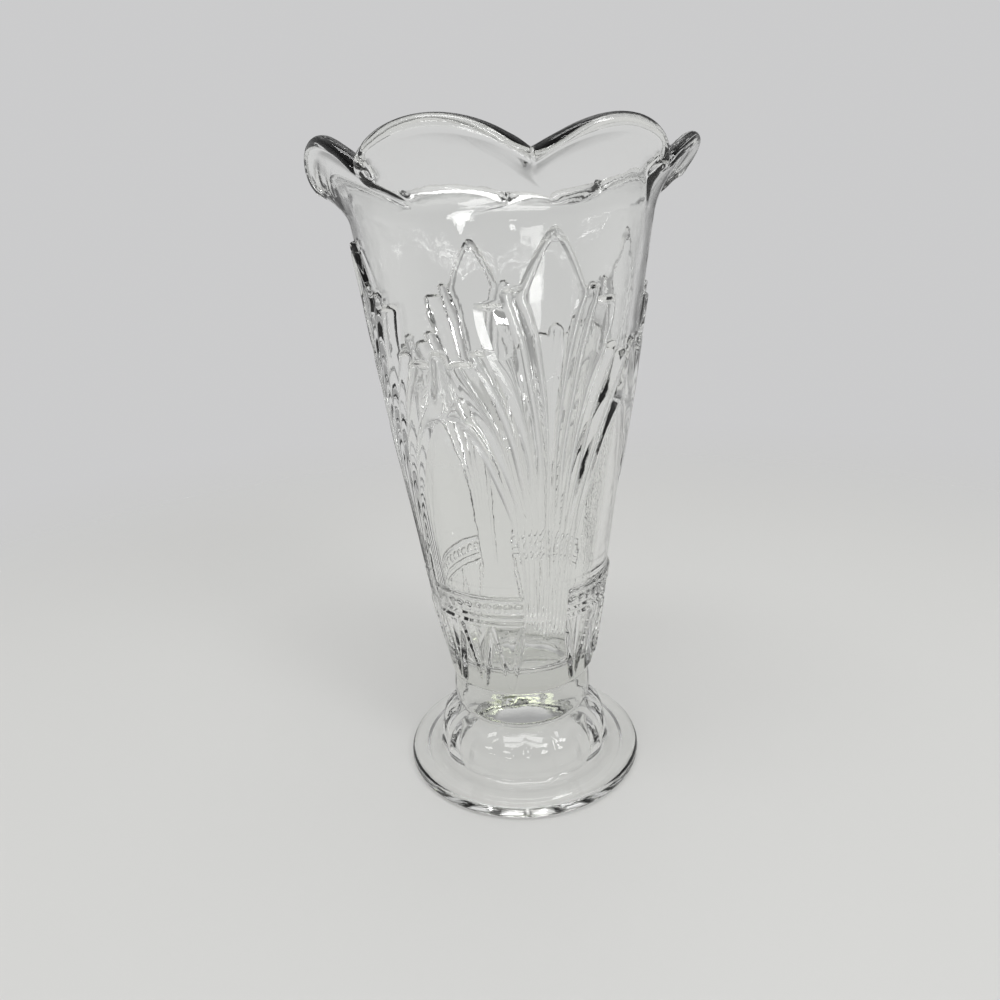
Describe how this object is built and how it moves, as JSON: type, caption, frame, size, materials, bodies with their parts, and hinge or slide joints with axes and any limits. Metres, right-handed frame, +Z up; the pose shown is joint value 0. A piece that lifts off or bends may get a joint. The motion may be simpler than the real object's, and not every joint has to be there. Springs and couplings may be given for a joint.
{
  "type": "footed vase",
  "caption": "Tall flared vase of clear pressed glass on a hollow domed foot, with rib sheaves and a lobed, beaded rim, for holding cut flowers.",
  "frame": {"origin": "centre of the foot's resting plane, on the vase's axis", "axes": "+Z up along the vase's axis; -Y faces the viewer of the picture; +X is then to the right"},
  "size_m": [0.1365, 0.1405, 0.2532],
  "materials": {
    "bowl_glass": "clear pressed glass, fire-polished",
    "collar_glass": "clear solid glass, fire-polished",
    "foot_glass": "clear pressed glass, fire-polished"
  },
  "bodies": {
    "root": {"bowl": "bowl_glass", "collar": "collar_glass", "foot": "foot_glass"}
  },
  "joints": []
}
